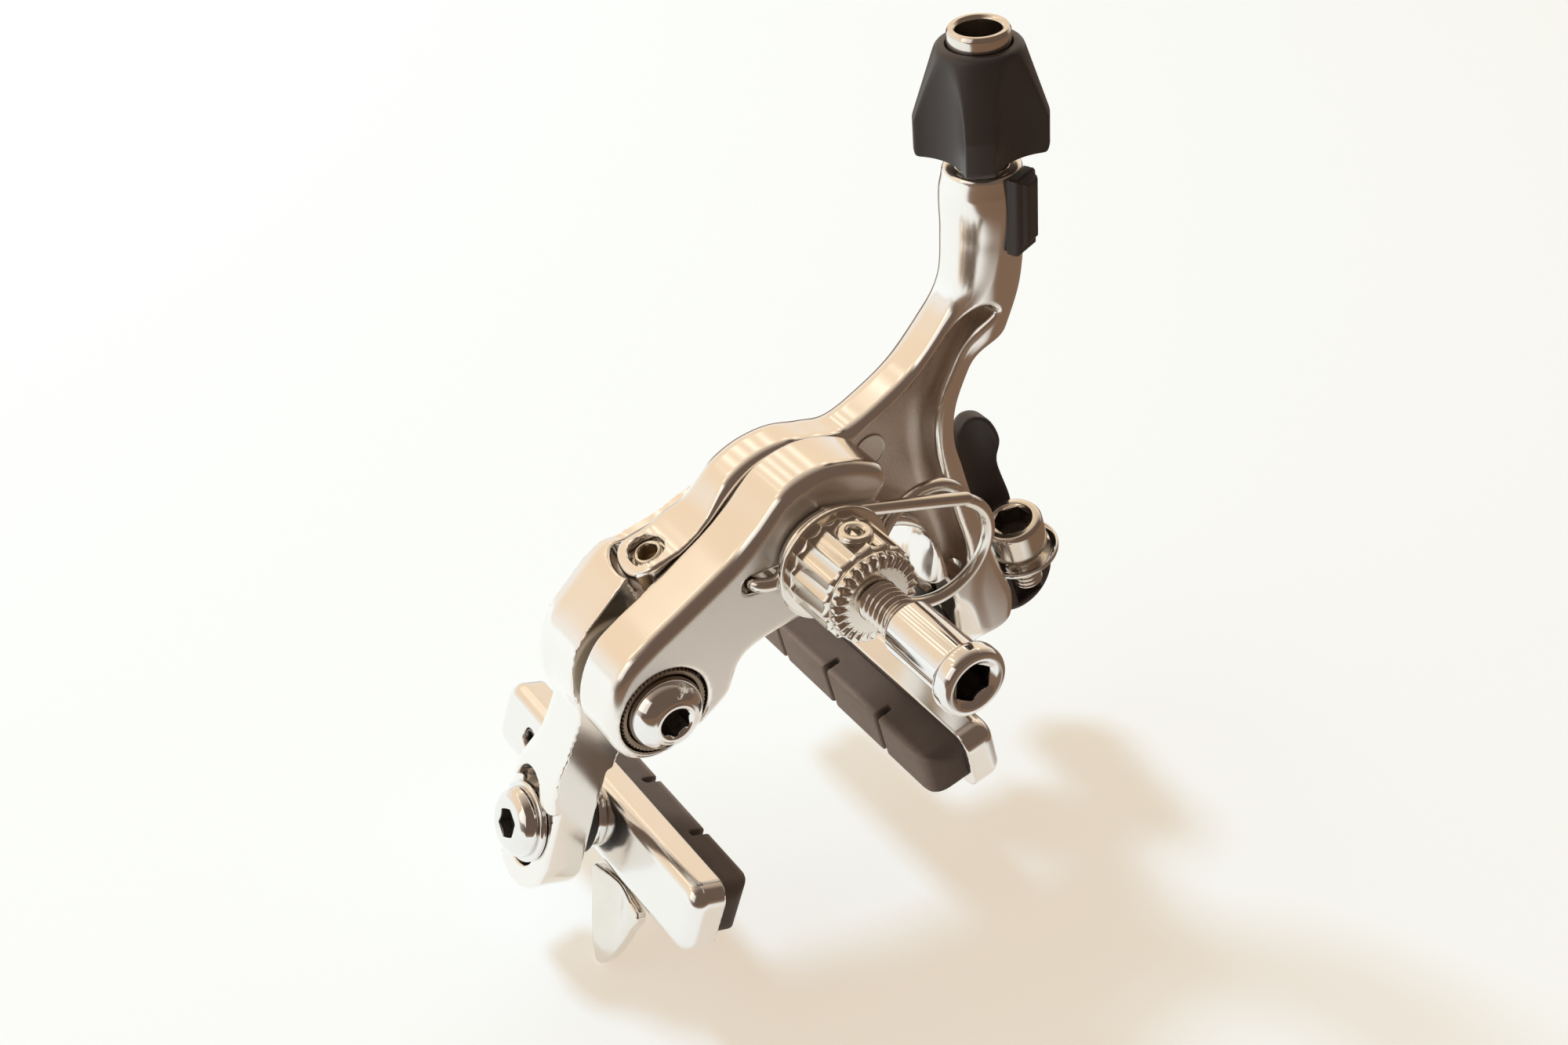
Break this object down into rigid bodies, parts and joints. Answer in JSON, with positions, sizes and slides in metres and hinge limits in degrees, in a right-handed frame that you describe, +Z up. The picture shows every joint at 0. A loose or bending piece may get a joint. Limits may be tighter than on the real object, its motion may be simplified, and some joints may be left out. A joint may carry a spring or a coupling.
{
  "type": "dual-pivot rim brake caliper",
  "caption": "Dual-pivot road rim brake caliper: two crossing arms with rubber pads, a bridge plate, a fork bolt with sleeve nut, a cable adjuster knob and a quick-release lever.",
  "frame": {"origin": "On the centre bolt's axis, on the toothed washer's rear face, which meets the fork.", "axes": "+Z up with the brake as it hangs on a bicycle, +Y rearward along the centre bolt into the fork, +X towards the side pivot."},
  "size_m": [0.1011, 0.0815, 0.1313],
  "materials": {
    "polished_aluminium": "polished",
    "satin_aluminium": "bead-blasted satin with a polished rim",
    "chrome": "bright plating",
    "nickel": "nickel plating",
    "dark_steel": "blackened steel",
    "holder_aluminium": "satin",
    "spring_steel": "drawn wire",
    "bronze": "sintered",
    "white_nylon": "moulded",
    "dark_plastic": "matt moulding",
    "washer_plastic": "matt moulding",
    "rubber": "matt rubber"
  },
  "bodies": {
    "mount": {"bridge_plate": "satin_aluminium", "centre_bolt": "nickel", "sleeve_nut": "chrome", "serrated_washer": "nickel", "collar": "nickel", "collar_screw": "dark_steel", "centre_washer": "white_nylon", "front_washer": "white_nylon", "lock_nut": "dark_steel", "side_bolt": "chrome", "side_ring": "dark_steel", "side_washer": "white_nylon", "side_nut": "dark_steel", "return_spring": "spring_steel"},
    "inner_arm": {"y_arm": "polished_aluminium", "centre_bush": "bronze", "barrel_clip": "dark_plastic", "right_pad_bolt": "chrome", "right_bolt_washer": "chrome", "right_cup_washer": "washer_plastic", "right_ball_washer": "chrome", "right_holder": "holder_aluminium", "right_pad": "rubber", "right_pad_screw": "dark_steel", "right_guide": "nickel"},
    "screw": {"centring_screw": "dark_steel"},
    "tube": {"adjuster_tube": "nickel"},
    "knob": {"adjuster_knob": "dark_plastic"},
    "outer_arm": {"c_arm": "polished_aluminium", "side_bush": "bronze", "left_pad_bolt": "chrome", "left_bolt_washer": "chrome", "left_cup_washer": "washer_plastic", "left_ball_washer": "chrome", "left_holder": "holder_aluminium", "left_pad": "rubber", "left_pad_screw": "dark_steel", "left_guide": "nickel", "lever_pin": "nickel", "lever_clip": "dark_steel"},
    "release": {"release_lever": "dark_plastic", "anchor_bolt": "chrome", "clamp_plate": "nickel"}
  },
  "joints": [
    {"name": "inner_arm_swing", "type": "hinge", "parent": "mount", "child": "inner_arm", "pos_m": [0, -0.027, 0], "axis": [0, 1, 0], "range_deg": [-9, 0], "stiffness_Nm_per_rad": 1.2, "springref_deg": 14.32, "deforming": ["return_spring"]},
    {"name": "outer_arm_swing", "type": "hinge", "parent": "mount", "child": "outer_arm", "pos_m": [0.0246, -0.03, -0.0174], "axis": [0, 1, 0], "range_deg": [0, 13.1]},
    {"name": "release_turn", "type": "hinge", "parent": "outer_arm", "child": "release", "pos_m": [-0.0508, -0.032, -0.0333], "axis": [0, 1, 0], "range_deg": [-60, 0]},
    {"name": "knob_turn", "type": "hinge", "parent": "inner_arm", "child": "knob", "pos_m": [-0.0324, -0.0247, 0.0449], "axis": [0.1115, 0, 0.9938], "range_deg": [0, 720]},
    {"name": "tube_lift", "type": "slide", "parent": "inner_arm", "child": "tube", "axis": [0.1115, 0, 0.9938], "range_m": [0, 0.002]},
    {"name": "screw_turn", "type": "hinge", "parent": "inner_arm", "child": "screw", "pos_m": [0.0188, -0.027, -0.002], "axis": [0.4067, 0, 0.9135], "range_deg": [-180, 180]}
  ],
  "couplings": [
    {"joint": "outer_arm_swing", "follows": "inner_arm_swing", "ratio": -1.45},
    {"joint": "knob_turn", "follows": "tube_lift", "rad_per_m": 6283}
  ]
}
